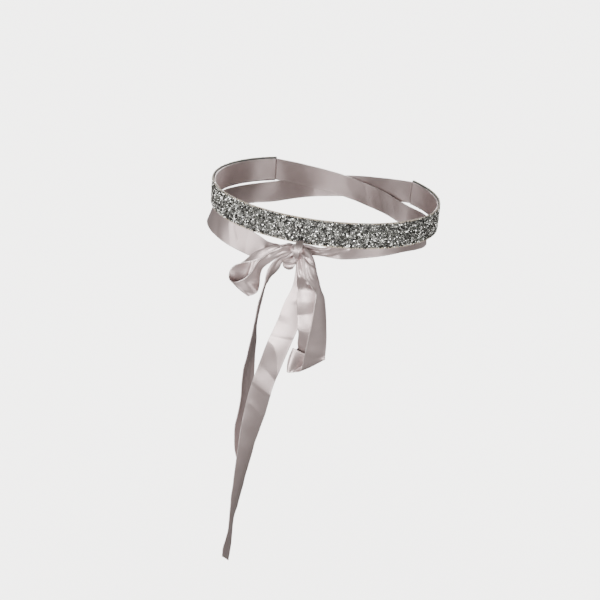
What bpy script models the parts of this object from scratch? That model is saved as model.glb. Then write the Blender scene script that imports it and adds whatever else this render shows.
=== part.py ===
"""Bridal sash: a crystal band on a satin ribbon, worn round the waist and tied in a bow in front.

Metres, +Z up. The origin is the centre of the waist, level with the middle of the band.
The front faces -Y and the wearer's left is +X. Inside this file sizes are in millimetres, and
a place is written as across (+X), out (-Y, in front of the waist's centre) and drop (-Z).
"""
import math

import bmesh
import bpy
import numpy as np

MM = 0.001

# Waist that the sash goes round: half width and half depth of an ellipse.
WAIST_HALF_ACROSS = 118.0
WAIST_HALF_OUT = 90.0

# Ribbon and band.
RIBBON_WIDTH = 25.0
RIBBON_WALL = 1.0
BAND_HEIGHT = 28.0
BAND_WALL = 2.5
SEAM_GAP = 0.3

# Middle of each layer, outwards from the waist's ellipse.
BACKING_GAP = 3.1
BAND_GAP = 5.15

# The band and the ribbon sewn behind it stop this far round from the front, on both sides.
BAND_END_ANGLE = 140.0

# How finely each form is cut.
BAND_STEPS = 112
TIE_STEPS = 72
LOOP_STEPS = 54
TAIL_STEPS = 34
ACROSS_STEPS = 6

# The knot, and how far the ribbon's pleats show on it.
KNOT_CENTRE = (3.5, 103.5, 19.5)
KNOT_HALF_SIZE = (8.5, 7.0, 8.0)
KNOT_TILT = 20.0
KNOT_PLEATS = 5
KNOT_PLEAT_DEPTH = 0.06
KNOT_SEGMENTS = 20
KNOT_RINGS = 14

# Pleats that a pinched ribbon falls into, counted as half waves across its width.
PLEAT_HALF_WAVES = 3
PLEAT_SAMPLES = 121
PLEAT_HALVINGS = 30

# Ties. angle: degrees round the waist from the front, + to the wearer's left.
# upper and lower: the ribbon's two edges. gap: out from the waist's ellipse. drop: below the band's middle.
# arch: depth of one lengthwise bend. pleats: share of the spare width that goes into pleats.
TIE_COLUMNS = ("angle", "upper_gap", "upper_drop", "lower_gap", "lower_drop", "arch", "pleats")

TIE_RIGHT = (
    (220.0, 3.1, -12.5, 3.1, 12.5, 0.0, 0.0),
    (205.0, 3.6, -7.0, 3.6, 18.0, 0.0, 0.0),
    (180.0, 4.0, 1.0, 4.2, 26.0, 0.0, 0.0),
    (155.0, 4.4, 9.5, 5.0, 34.5, 0.0, 0.0),
    (140.0, 4.0, 14.8, 5.5, 39.8, 0.0, 0.0),
    (120.0, 2.0, 15.0, 6.5, 39.6, 0.0, 0.0),
    (100.0, 1.0, 14.0, 8.0, 38.0, 0.0, 0.0),
    (80.0, 1.0, 13.3, 8.5, 37.3, 0.0, 0.0),
    (60.0, 1.5, 13.8, 8.5, 37.8, 0.0, 0.0),
    (45.0, 2.5, 14.2, 8.0, 38.6, 0.0, 0.0),
    (33.0, 3.5, 14.4, 8.0, 39.0, 0.0, 0.0),
    (25.0, 4.5, 15.2, 8.0, 40.0, 0.5, 0.0),
    (19.0, 5.5, 16.8, 8.0, 40.0, 1.0, 0.0),
    (14.0, 6.5, 19.0, 8.0, 36.5, 1.5, 0.1),
    (9.0, 7.5, 19.0, 8.0, 31.0, 1.0, 0.3),
    (4.0, 8.5, 18.5, 8.5, 27.0, 0.0, 0.3),
    (0.5, 9.0, 17.0, 9.0, 25.0, 0.0, 0.2),
)

TIE_LEFT = (
    (220.0, 3.1, -12.5, 3.1, 12.5, 0.0, 0.0),
    (205.0, 2.3, -7.0, 2.3, 18.0, 0.0, 0.0),
    (180.0, 1.2, 1.0, 1.2, 26.0, 0.0, 0.0),
    (155.0, 0.5, 10.0, 1.0, 35.0, 0.0, 0.0),
    (140.0, 0.0, 14.8, 0.8, 39.8, 0.0, 0.0),
    (120.0, -2.0, 11.5, -1.0, 36.5, 0.0, 0.0),
    (98.0, -6.0, 7.8, -5.0, 32.8, 0.0, 0.0),
    (85.0, -6.0, 5.3, -5.0, 30.3, 0.0, 0.0),
    (72.0, -4.5, 2.2, -5.0, 27.2, 0.0, 0.0),
    (60.0, -2.2, 0.1, -3.8, 25.1, 0.0, 0.0),
    (48.0, 0.0, 0.3, -2.2, 25.3, 0.0, 0.0),
    (36.0, 1.0, 1.0, -0.4, 26.0, 0.0, 0.0),
    (27.0, 1.0, 2.3, 1.6, 27.2, 0.0, 0.0),
    (21.5, 0.8, 5.0, 3.4, 27.2, 0.0, 0.0),
    (17.5, 1.2, 11.5, 6.2, 25.5, 0.0, 0.0),
    (14.0, 4.2, 15.2, 7.6, 24.0, 0.0, 0.1),
    (11.0, 7.4, 15.0, 9.0, 23.4, 0.0, 0.2),
    (8.0, 9.2, 13.4, 9.8, 23.0, 0.0, 0.3),
    (5.0, 10.0, 12.6, 10.2, 22.8, 0.0, 0.4),
    (2.0, 10.2, 13.4, 10.2, 23.2, 0.0, 0.4),
)

# Bow. Each row is a line across the ribbon between its two edges, from the knot and back to it
# or to the cut end. near and far: the two edges. arch and pleats are as above.
BOW_COLUMNS = (
    "near_across", "near_out", "near_drop",
    "far_across", "far_out", "far_drop", "arch", "pleats",
)

LOOP_RIGHT = (
    (-3.0, 105.5, 14.0, 2.0, 104.0, 21.0, 0.0, 0.3),
    (-8.0, 109.0, 14.0, -4.5, 107.0, 22.0, 0.0, 0.3),
    (-17.0, 112.0, 18.0, -13.0, 108.0, 27.0, 1.5, 0.2),
    (-25.0, 115.5, 24.5, -22.5, 109.0, 35.0, 0.5, 0.1),
    (-31.0, 119.0, 31.0, -29.5, 109.5, 42.5, 0.0, 0.1),
    (-36.5, 123.0, 42.5, -32.5, 107.5, 54.0, 0.5, 0.0),
    (-43.5, 126.0, 50.5, -32.5, 108.5, 62.5, 1.5, 0.0),
    (-48.0, 127.0, 53.5, -32.5, 113.5, 67.5, 1.5, 0.0),
    (-54.0, 127.0, 56.0, -36.0, 117.5, 70.5, 1.0, 0.0),
    (-58.5, 125.5, 55.5, -39.5, 120.5, 71.0, 1.0, 0.0),
    (-61.0, 122.5, 52.0, -43.5, 116.0, 68.5, 1.0, 0.0),
    (-61.0, 120.0, 47.0, -40.5, 110.5, 59.5, 1.5, 0.0),
    (-57.5, 118.5, 42.5, -37.5, 107.5, 50.5, 3.0, 0.0),
    (-51.0, 117.0, 39.0, -35.0, 105.5, 40.5, 6.0, 0.0),
    (-40.0, 115.0, 35.0, -30.5, 104.5, 32.0, 8.0, 0.0),
    (-29.0, 112.0, 29.5, -23.5, 103.5, 25.0, 7.0, 0.0),
    (-19.0, 108.0, 22.5, -15.0, 102.5, 18.5, 4.0, 0.2),
    (-8.5, 105.0, 20.0, -6.0, 102.0, 13.5, 1.0, 0.3),
    (0.0, 102.5, 22.0, 1.5, 101.5, 14.5, 0.0, 0.3),
)

LOOP_LEFT = (
    (5.0, 104.0, 22.0, 8.0, 102.0, 15.0, 0.0, 0.3),
    (9.5, 108.0, 22.0, 13.5, 105.5, 14.5, 1.0, 0.3),
    (12.5, 112.0, 26.0, 20.0, 107.0, 19.5, 3.0, 0.3),
    (15.0, 115.5, 34.5, 24.0, 106.5, 28.0, 4.0, 0.2),
    (19.0, 119.0, 41.5, 27.0, 107.0, 37.5, 4.0, 0.1),
    (27.0, 123.0, 47.5, 30.0, 106.5, 46.5, 3.5, 0.0),
    (32.5, 126.0, 52.5, 31.5, 103.5, 56.0, 3.0, 0.0),
    (33.0, 127.0, 60.0, 35.5, 103.0, 64.5, 3.0, 0.0),
    (32.5, 127.5, 69.5, 38.0, 103.5, 75.0, 3.0, 0.0),
    (31.0, 128.0, 86.5, 40.5, 105.0, 91.0, 3.0, 0.0),
    (28.5, 128.0, 108.5, 43.5, 108.0, 112.0, 2.5, 0.0),
    (26.5, 127.5, 124.0, 44.5, 110.5, 125.5, 2.0, 0.0),
    (23.0, 124.5, 142.0, 44.0, 111.5, 130.5, 1.0, 0.0),
    (19.0, 121.0, 146.0, 40.0, 108.5, 133.0, 1.0, 0.0),
    (14.5, 119.0, 148.0, 33.5, 109.5, 132.5, 1.0, 0.0),
    (11.5, 119.5, 149.0, 25.0, 112.5, 128.5, -0.4, 0.0),
    (7.5, 118.5, 148.5, 9.0, 113.5, 123.5, -1.8, 0.0),
    (9.5, 114.5, 147.0, 10.5, 109.5, 127.0, -1.2, 0.0),
    (18.0, 111.5, 142.0, 14.0, 109.0, 124.5, -0.4, 0.0),
    (27.5, 108.5, 134.0, 14.0, 110.0, 116.5, -0.5, 0.0),
    (33.5, 109.5, 119.0, 14.5, 112.0, 106.5, 0.0, 0.0),
    (33.5, 110.0, 103.0, 13.0, 113.5, 96.5, 1.0, 0.0),
    (31.5, 109.5, 85.0, 11.5, 113.5, 84.0, 2.0, 0.0),
    (30.5, 108.5, 69.5, 10.0, 112.5, 70.5, 2.5, 0.0),
    (27.0, 107.5, 56.0, 8.0, 110.0, 59.0, 2.0, 0.1),
    (21.0, 110.0, 41.5, 7.5, 111.5, 44.0, 1.0, 0.3),
    (13.5, 107.5, 31.0, 5.5, 108.0, 31.5, 0.0, 0.3),
    (10.5, 104.5, 23.5, 3.0, 104.5, 23.5, 0.0, 0.3),
)

TAIL_FRONT = (
    (1.5, 100.0, 24.0, 9.0, 99.0, 24.0, 0.0, 0.3),
    (3.0, 102.0, 32.0, 11.0, 99.5, 32.0, 0.0, 0.3),
    (4.0, 106.5, 45.5, 16.5, 101.0, 48.0, 1.0, 0.3),
    (2.5, 108.5, 58.5, 22.5, 102.5, 62.5, 2.0, 0.2),
    (-4.0, 111.5, 76.5, 18.5, 105.0, 80.0, 1.8, 0.0),
    (-8.5, 114.0, 94.5, 13.5, 110.0, 100.0, 1.2, 0.0),
    (-16.5, 118.0, 119.5, 8.0, 113.5, 119.0, 0.8, 0.0),
    (-23.5, 121.0, 147.5, 0.0, 116.5, 146.5, 0.5, 0.0),
    (-28.5, 124.0, 168.5, -7.0, 117.5, 169.5, 0.5, 0.0),
    (-33.5, 126.5, 204.0, -14.0, 115.5, 201.5, 0.3, 0.0),
    (-37.5, 128.0, 247.5, -23.5, 111.5, 242.5, 1.0, 0.0),
    (-40.0, 129.0, 288.5, -32.0, 109.0, 284.0, 1.5, 0.0),
    (-41.5, 129.0, 306.5, -35.0, 107.5, 298.5, 1.5, 0.0),
    (-41.5, 129.0, 323.5, -37.5, 107.0, 314.5, 1.0, 0.0),
    (-42.0, 129.0, 342.0, -40.5, 106.5, 330.5, 0.5, 0.0),
    (-44.5, 129.0, 362.5, -44.5, 106.5, 351.0, 0.5, 0.0),
    (-46.5, 129.0, 374.5, -45.0, 106.5, 378.5, 0.2, 0.0),
    (-47.5, 129.0, 386.0, -47.0, 106.5, 405.0, 0.0, 0.0),
)

TAIL_BACK = (
    (-3.0, 104.0, 21.0, 0.0, 102.0, 28.0, 0.0, 0.0),
    (-15.0, 107.0, 29.5, -10.5, 101.0, 34.0, 0.0, 0.2),
    (-24.5, 112.0, 43.5, -16.5, 99.5, 45.5, 0.5, 0.3),
    (-26.0, 114.5, 58.5, -24.5, 94.5, 55.0, 0.5, 0.2),
    (-29.5, 116.5, 78.5, -31.0, 93.0, 72.0, 0.0, 0.0),
    (-31.5, 117.5, 96.0, -33.5, 94.0, 87.5, 0.0, 0.0),
    (-34.5, 118.0, 119.5, -37.0, 93.5, 114.5, 0.0, 0.0),
    (-38.0, 117.0, 141.5, -36.5, 92.5, 137.0, 0.0, 0.0),
    (-41.0, 115.5, 156.5, -37.0, 91.0, 158.0, 0.0, 0.0),
    (-42.5, 114.5, 174.5, -37.0, 91.0, 180.5, 0.0, 0.0),
    (-43.5, 115.0, 203.5, -36.5, 91.5, 208.0, 0.0, 0.0),
    (-46.5, 116.5, 236.0, -36.5, 93.5, 235.5, 0.5, 0.0),
    (-45.0, 117.0, 255.5, -33.0, 95.5, 250.0, 0.5, 0.0),
    (-40.5, 117.5, 269.0, -32.0, 95.0, 262.0, 0.5, 0.0),
)

MATERIALS = {
    "satin": ((0.56, 0.53, 0.545, 1.0), 0.35, 0.0),
    "crystal": ((0.45, 0.46, 0.47, 1.0), 0.2, 0.8),
}


def clear_scene():
    for old in list(bpy.data.objects):
        bpy.data.objects.remove(old, do_unlink=True)


def make_material(name):
    colour, roughness, metallic = MATERIALS[name]
    material = bpy.data.materials.new(name)
    material.use_nodes = True
    shader = material.node_tree.nodes["Principled BSDF"]
    shader.inputs["Base Color"].default_value = colour
    shader.inputs["Roughness"].default_value = roughness
    shader.inputs["Metallic"].default_value = metallic
    material.diffuse_color = colour
    return material


def smooth_rows(rows, places, count):
    """A smooth curve through the table's rows, read at count even steps of places."""
    rows = np.asarray(rows, dtype=float)
    places = np.asarray(places, dtype=float)
    slopes = np.gradient(rows, places, axis=0)
    wanted = np.linspace(places[0], places[-1], count)
    left = np.clip(np.searchsorted(places, wanted, side="right") - 1, 0, len(places) - 2)
    span = (places[left + 1] - places[left])[:, None]
    part = (wanted - places[left])[:, None] / span
    start = 2 * part**3 - 3 * part**2 + 1
    leave = part**3 - 2 * part**2 + part
    end = 3 * part**2 - 2 * part**3
    arrive = part**3 - part**2
    return (start * rows[left] + leave * span * slopes[left]
            + end * rows[left + 1] + arrive * span * slopes[left + 1])


def world(across, out, drop):
    """Points in millimetres, from across, out and drop."""
    return np.stack([across, -np.asarray(out), -np.asarray(drop)], axis=-1)


def round_waist(angle, gap, drop):
    """Points on the waist's ellipse, moved out by gap. angle is in degrees from the front."""
    turn = np.radians(angle)
    across = (WAIST_HALF_ACROSS + gap) * np.sin(turn)
    out = (WAIST_HALF_OUT + gap) * np.cos(turn)
    return world(across, out, drop)


def pleat_depth(straight, pleat_slopes):
    """Depth of the pleats that would take up all of the ribbon's spare width, for each line across it."""
    shallow = np.zeros(len(straight))
    deep = np.full(len(straight), RIBBON_WIDTH)
    for _ in range(PLEAT_HALVINGS):
        depth = (shallow + deep) / 2
        run = np.hypot(straight[:, None], depth[:, None] * pleat_slopes).mean(axis=1)
        shallow = np.where(run < RIBBON_WIDTH, depth, shallow)
        deep = np.where(run < RIBBON_WIDTH, deep, depth)
    return (shallow + deep) / 2


def ribbon_grid(first, second, arch, pleats):
    """A sheet between two edges, bent once along its length by arch and pleated where it is pinched."""
    share = np.linspace(0, 1, ACROSS_STEPS + 1)
    bend = math.pi * PLEAT_HALF_WAVES
    chord = second - first
    straight = np.linalg.norm(chord, axis=1)
    slopes = bend * np.cos(bend * np.linspace(0, 1, PLEAT_SAMPLES))[None, :]
    depth = pleats * pleat_depth(straight, slopes)
    along = np.gradient((first + second) / 2, axis=0)
    normal = np.cross(along, chord)
    normal /= np.linalg.norm(normal, axis=1)[:, None]
    height = (arch[:, None] * np.sin(math.pi * share)
              + depth[:, None] * np.sin(bend * share))
    return (first[:, None] + chord[:, None] * share[None, :, None]
            + normal[:, None] * height[:, :, None])


def sheet_object(name, grid, wall, material, collection):
    """An open sheet through the grid's points, thickened to both sides."""
    rows, columns = grid.shape[:2]
    mesh = bpy.data.meshes.new(name)
    work = bmesh.new()
    bmesh.ops.create_grid(work, x_segments=rows - 1, y_segments=columns - 1, size=1.0)
    work.verts.ensure_lookup_table()
    for vert in work.verts:
        row = round((vert.co.x + 1) / 2 * (rows - 1))
        column = round((vert.co.y + 1) / 2 * (columns - 1))
        vert.co = grid[row, column] * MM
    work.to_mesh(mesh)
    work.free()
    mesh.shade_smooth()
    mesh.materials.append(material)
    sheet = bpy.data.objects.new(name, mesh)
    collection.objects.link(sheet)
    solid = sheet.modifiers.new("wall", "SOLIDIFY")
    solid.thickness = wall * MM
    solid.offset = 0.0
    return sheet


def tie_grid(rows, side):
    """A tie round the waist. side is -1 on the wearer's right and 1 on the left."""
    angles = [-row[0] for row in rows]
    table = dict(zip(TIE_COLUMNS, smooth_rows(rows, angles, TIE_STEPS).T))
    angle = side * table["angle"]
    upper = round_waist(angle, table["upper_gap"], table["upper_drop"])
    lower = round_waist(angle, table["lower_gap"], table["lower_drop"])
    return ribbon_grid(upper, lower, side * table["arch"], table["pleats"])


def bow_grid(rows, steps):
    """A loop or a tail, from the knot outwards."""
    rows = np.asarray(rows)
    middles = (rows[:, 0:3] + rows[:, 3:6]) / 2
    strides = np.linalg.norm(np.diff(middles, axis=0), axis=1)
    places = np.concatenate([[0.0], np.cumsum(strides)])
    table = dict(zip(BOW_COLUMNS, smooth_rows(rows, places, steps).T))
    near = world(table["near_across"], table["near_out"], table["near_drop"])
    far = world(table["far_across"], table["far_out"], table["far_drop"])
    return ribbon_grid(near, far, table["arch"], table["pleats"])


def band_grid(gap, height, angle_limit):
    angle = np.linspace(-angle_limit, angle_limit, BAND_STEPS + 1)
    upper = round_waist(angle, gap, np.full(len(angle), -height / 2))
    lower = round_waist(angle, gap, np.full(len(angle), height / 2))
    return np.stack([upper, lower], axis=1)


def knot_object(name, grow, material, collection):
    """A tight round knot with the ribbon's pleats running over it."""
    mesh = bpy.data.meshes.new(name)
    work = bmesh.new()
    bmesh.ops.create_uvsphere(work, u_segments=KNOT_SEGMENTS, v_segments=KNOT_RINGS, radius=1.0)
    for vert in work.verts:
        turn = math.atan2(vert.co.y, vert.co.x)
        swell = 1 + KNOT_PLEAT_DEPTH * math.cos(KNOT_PLEATS * turn) * math.hypot(vert.co.x, vert.co.y)
        half = [size * swell + grow for size in KNOT_HALF_SIZE]
        vert.co = [place * size * MM for place, size in zip(vert.co, half)]
    work.to_mesh(mesh)
    work.free()
    mesh.shade_smooth()
    mesh.materials.append(material)
    knot = bpy.data.objects.new(name, mesh)
    collection.objects.link(knot)
    knot.location = [value * MM for value in world(*KNOT_CENTRE)]
    knot.rotation_euler = (0.0, math.radians(KNOT_TILT), 0.0)
    return knot


def cut_by(target, cutter):
    cut = target.modifiers.new("clear of the knot", "BOOLEAN")
    cut.operation = "DIFFERENCE"
    cut.object = cutter


def main():
    clear_scene()
    parts = bpy.data.collections.new("bridal_sash")
    cutters = bpy.data.collections.new("cutters")
    for collection in (parts, cutters):
        bpy.context.scene.collection.children.link(collection)
    satin = make_material("satin")
    crystal = make_material("crystal")

    seam_angle = math.degrees(SEAM_GAP / (WAIST_HALF_OUT + BACKING_GAP))
    sheet_object("crystal_band", band_grid(BAND_GAP, BAND_HEIGHT, BAND_END_ANGLE),
                 BAND_WALL, crystal, parts)
    sheet_object("ribbon_backing", band_grid(BACKING_GAP, RIBBON_WIDTH, BAND_END_ANGLE - seam_angle),
                 RIBBON_WALL, satin, parts)
    knot_object("knot", 0.0, satin, parts)
    clearance = knot_object("knot_clearance", SEAM_GAP, satin, cutters)
    clearance.hide_render = True
    clearance.display_type = "WIRE"

    grids = {
        "tie_right": tie_grid(TIE_RIGHT, -1),
        "tie_left": tie_grid(TIE_LEFT, 1),
        "loop_right": bow_grid(LOOP_RIGHT, LOOP_STEPS),
        "loop_left": bow_grid(LOOP_LEFT, LOOP_STEPS),
        "tail_front": bow_grid(TAIL_FRONT, TAIL_STEPS),
        "tail_back": bow_grid(TAIL_BACK, TAIL_STEPS),
    }
    for name, grid in grids.items():
        ribbon = sheet_object(name, grid, RIBBON_WALL, satin, parts)
        cut_by(ribbon, clearance)


main()
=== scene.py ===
"""Looks of the bridal sash: a crystal band on a satin ribbon, tied in a bow in front.

Metres, +Z up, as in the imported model. Sizes are written in millimetres, and a place as across (+X),
out (-Y, in front of the waist's centre) and drop (-Z).
"""
import math

import bpy
import numpy as np
from mathutils import Matrix, Vector

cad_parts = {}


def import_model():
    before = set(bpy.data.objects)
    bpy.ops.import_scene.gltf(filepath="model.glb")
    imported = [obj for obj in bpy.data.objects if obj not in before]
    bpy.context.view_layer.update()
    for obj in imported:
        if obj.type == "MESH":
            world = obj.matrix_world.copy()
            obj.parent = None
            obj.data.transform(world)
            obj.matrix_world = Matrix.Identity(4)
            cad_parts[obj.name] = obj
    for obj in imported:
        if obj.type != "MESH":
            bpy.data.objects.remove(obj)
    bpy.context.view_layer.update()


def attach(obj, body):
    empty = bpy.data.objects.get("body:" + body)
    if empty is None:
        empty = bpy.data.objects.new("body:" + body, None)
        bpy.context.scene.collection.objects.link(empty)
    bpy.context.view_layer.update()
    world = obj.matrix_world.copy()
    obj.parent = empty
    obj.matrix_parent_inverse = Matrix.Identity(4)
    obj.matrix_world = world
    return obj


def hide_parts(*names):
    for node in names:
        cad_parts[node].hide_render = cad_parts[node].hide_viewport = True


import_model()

MM = 0.001
SEED = 11
SHORTEST = 1e-9  # least length that a direction is divided by

# Sizes of the sash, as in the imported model.
WAIST_HALF_ACROSS = 118.0
WAIST_HALF_OUT = 90.0
RIBBON_WIDTH = 25.0
BAND_HEIGHT = 28.0
BACKING_GAP = 3.1
BAND_END_ANGLE = 140.0
PLEAT_HALF_WAVES = 3
PLEAT_SAMPLES = 121
PLEAT_HALVINGS = 30

# The ribbon's own cloth. softness and rounding: how far the line of a fold and of a crease is blunted.
# bell reach: how many of its radii the blunting takes in. fall: how steeply a crease fades over its reach.
SATIN_HALF_WALL = 0.22
SELVEDGE_HALF_WALL = 0.42
SELVEDGE_WIDTH = 0.9
FOLD_SOFTNESS = 0.8
BELL_REACH = 3
CREASE_ROUNDING = 0.35
CREASE_FALL = 1.6
ACROSS_STEPS = 30

# Faint slow waves of the cloth: height, length per radian along the ribbon and across it, and how much
# of the ribbon's own phase turns them.
WAVES = (
    (0.13, 7.3, 9.1, 1),
    (0.07, 4.1, -5.7, 2.1),
    (0.10, 13.9, 6.3, -1),
)
WAVE_SHIFT = 9.0

# How finely each stretch of ribbon is cut along its length.
BACKING_STEPS = 240
TIE_STEPS = 420
LOOP_STEPS = 400
TAIL_STEPS = 420

# Ties. angle: degrees round the waist from the front, to the tie's own side.
# upper and lower: the ribbon's two edges. gap: out from the waist's ellipse. drop: below the band's middle.
# arch: depth of one lengthwise bend. pleats: share of the spare width that goes into pleats.
TIE_COLUMNS = ("angle", "upper_gap", "upper_drop", "lower_gap", "lower_drop", "arch", "pleats")

TIE_RIGHT = (
    (220, 3.1, -12.5, 3.1, 12.5, 0, 0),
    (205, 3.6, -7, 3.6, 18, 0, 0),
    (180, 4, 1, 4.2, 26, 0, 0),
    (155, 4.4, 9.5, 5, 34.5, 0, 0),
    (140, 4, 14.8, 5.5, 39.8, 0, 0),
    (120, 2, 15, 6.5, 39.6, 0, 0),
    (100, 1, 14, 8, 38, 0, 0),
    (80, 1, 13.3, 8.5, 37.3, 0, 0),
    (60, 1.5, 13.8, 8.5, 37.8, 0, 0),
    (45, 2.5, 14.2, 8, 38.6, 0, 0),
    (33, 3.5, 14.4, 8, 39, 0, 0),
    (25, 4.5, 15.2, 8, 40, 0.5, 0),
    (19, 5.5, 16.8, 8, 40, 1, 0),
    (14, 6.5, 19, 8, 36.5, 1.5, 0.1),
    (9, 7.5, 19, 8, 31, 1, 0.3),
    (4, 8.5, 18.5, 8.5, 27, 0, 0.3),
    (0.5, 9, 17, 9, 25, 0, 0.2),
)

TIE_LEFT = (
    (220, 3.1, -12.5, 3.1, 12.5, 0, 0),
    (205, 2.3, -7, 2.3, 18, 0, 0),
    (180, 1.2, 1, 1.2, 26, 0, 0),
    (155, 0.5, 10, 1, 35, 0, 0),
    (140, 0, 14.8, 0.8, 39.8, 0, 0),
    (120, -2, 11.5, -1, 36.5, 0, 0),
    (98, -6, 7.8, -5, 32.8, 0, 0),
    (85, -6, 5.3, -5, 30.3, 0, 0),
    (72, -4.5, 2.2, -5, 27.2, 0, 0),
    (60, -2.2, 0.1, -3.8, 25.1, 0, 0),
    (48, 0, 0.3, -2.2, 25.3, 0, 0),
    (36, 1, 1, -0.4, 26, 0, 0),
    (27, 1, 2.3, 1.6, 27.2, 0, 0),
    (21.5, 0.8, 5, 3.4, 27.2, 0, 0),
    (17.5, 1.2, 11.5, 6.2, 25.5, 0, 0),
    (14, 4.2, 15.2, 7.6, 24, 0, 0.1),
    (11, 7.4, 15, 9, 23.4, 0, 0.2),
    (8, 9.2, 13.4, 9.8, 23, 0, 0.3),
    (5, 10, 12.6, 10.2, 22.8, 0, 0.4),
    (2, 10.2, 13.4, 10.2, 23.2, 0, 0.4),
)

# rows, side (+1 for the wearer's left), phase
TIES = {
    "tie_right": (TIE_RIGHT, -1, 0.7),
    "tie_left": (TIE_LEFT, 1, 1.9),
}

# Bow. Each row is a line across the ribbon between its two edges, from the knot and back to it
# or to the cut end. near and far: the two edges. arch and pleats are as above.
BOW_COLUMNS = (
    "near_across", "near_out", "near_drop",
    "far_across", "far_out", "far_drop", "arch", "pleats",
)

LOOP_RIGHT = (
    (-3, 105.5, 14, 2, 104, 21, 0, 0.3),
    (-8, 109, 14, -4.5, 107, 22, 0, 0.3),
    (-17, 112, 18, -13, 108, 27, 1.5, 0.2),
    (-25, 115.5, 24.5, -22.5, 109, 35, 0.5, 0.1),
    (-31, 119, 31, -29.5, 109.5, 42.5, 0, 0.1),
    (-36.5, 123, 42.5, -32.5, 107.5, 54, 0.5, 0),
    (-43.5, 126, 50.5, -32.5, 108.5, 62.5, 1.5, 0),
    (-48, 127, 53.5, -32.5, 113.5, 67.5, 1.5, 0),
    (-54, 127, 56, -36, 117.5, 70.5, 1, 0),
    (-58.5, 125.5, 55.5, -39.5, 120.5, 71, 1, 0),
    (-61, 122.5, 52, -43.5, 116, 68.5, 1, 0),
    (-61, 120, 47, -40.5, 110.5, 59.5, 1.5, 0),
    (-57.5, 118.5, 42.5, -37.5, 107.5, 50.5, 3, 0),
    (-51, 117, 39, -35, 105.5, 40.5, 6, 0),
    (-40, 115, 35, -30.5, 104.5, 32, 8, 0),
    (-29, 112, 29.5, -23.5, 103.5, 25, 7, 0),
    (-19, 108, 22.5, -15, 102.5, 18.5, 4, 0.2),
    (-8.5, 105, 20, -6, 102, 13.5, 1, 0.3),
    (0, 102.5, 22, 1.5, 101.5, 14.5, 0, 0.3),
)

LOOP_LEFT = (
    (5, 104, 22, 8, 102, 15, 0, 0.3),
    (9.5, 108, 22, 13.5, 105.5, 14.5, 1, 0.3),
    (12.5, 112, 26, 20, 107, 19.5, 3, 0.3),
    (15, 115.5, 34.5, 24, 106.5, 28, 4, 0.2),
    (19, 119, 41.5, 27, 107, 37.5, 4, 0.1),
    (27, 123, 47.5, 30, 106.5, 46.5, 3.5, 0),
    (32.5, 126, 52.5, 31.5, 103.5, 56, 3, 0),
    (33, 127, 60, 35.5, 103, 64.5, 3, 0),
    (32.5, 127.5, 69.5, 38, 103.5, 75, 3, 0),
    (31, 128, 86.5, 40.5, 105, 91, 3, 0),
    (28.5, 128, 108.5, 43.5, 108, 112, 2.5, 0),
    (26.5, 127.5, 124, 44.5, 110.5, 125.5, 2, 0),
    (23, 124.5, 142, 44, 111.5, 130.5, 1, 0),
    (19, 121, 146, 40, 108.5, 133, 1, 0),
    (14.5, 119, 148, 33.5, 109.5, 132.5, 1, 0),
    (11.5, 119.5, 149, 25, 112.5, 128.5, -0.4, 0),
    (7.5, 118.5, 148.5, 9, 113.5, 123.5, -1.8, 0),
    (9.5, 114.5, 147, 10.5, 109.5, 127, -1.2, 0),
    (18, 111.5, 142, 14, 109, 124.5, -0.4, 0),
    (27.5, 108.5, 134, 14, 110, 116.5, -0.5, 0),
    (33.5, 109.5, 119, 14.5, 112, 106.5, 0, 0),
    (33.5, 110, 103, 13, 113.5, 96.5, 1, 0),
    (31.5, 109.5, 85, 11.5, 113.5, 84, 2, 0),
    (30.5, 108.5, 69.5, 10, 112.5, 70.5, 2.5, 0),
    (27, 107.5, 56, 8, 110, 59, 2, 0.1),
    (21, 110, 41.5, 7.5, 111.5, 44, 1, 0.3),
    (13.5, 107.5, 31, 5.5, 108, 31.5, 0, 0.3),
    (10.5, 104.5, 23.5, 3, 104.5, 23.5, 0, 0.3),
)

TAIL_FRONT = (
    (1.5, 100, 24, 9, 99, 24, 0, 0.3),
    (3, 102, 32, 11, 99.5, 32, 0, 0.3),
    (4, 106.5, 45.5, 16.5, 101, 48, 1, 0.3),
    (2.5, 108.5, 58.5, 22.5, 102.5, 62.5, 2, 0.2),
    (-4, 111.5, 76.5, 18.5, 105, 80, 1.8, 0),
    (-8.5, 114, 94.5, 13.5, 110, 100, 1.2, 0),
    (-16.5, 118, 119.5, 8, 113.5, 119, 0.8, 0),
    (-23.5, 121, 147.5, 0, 116.5, 146.5, 0.5, 0),
    (-28.5, 124, 168.5, -7, 117.5, 169.5, 0.5, 0),
    (-33.5, 126.5, 204, -14, 115.5, 201.5, 0.3, 0),
    (-37.5, 128, 247.5, -23.5, 111.5, 242.5, 1, 0),
    (-40, 129, 288.5, -32, 109, 284, 1.5, 0),
    (-41.5, 129, 306.5, -35, 107.5, 298.5, 1.5, 0),
    (-41.5, 129, 323.5, -37.5, 107, 314.5, 1, 0),
    (-42, 129, 342, -40.5, 106.5, 330.5, 0.5, 0),
    (-44.5, 129, 362.5, -44.5, 106.5, 351, 0.5, 0),
    (-46.5, 129, 374.5, -45, 106.5, 378.5, 0.2, 0),
    (-47.5, 129, 386, -47, 106.5, 405, 0, 0),
)

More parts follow.
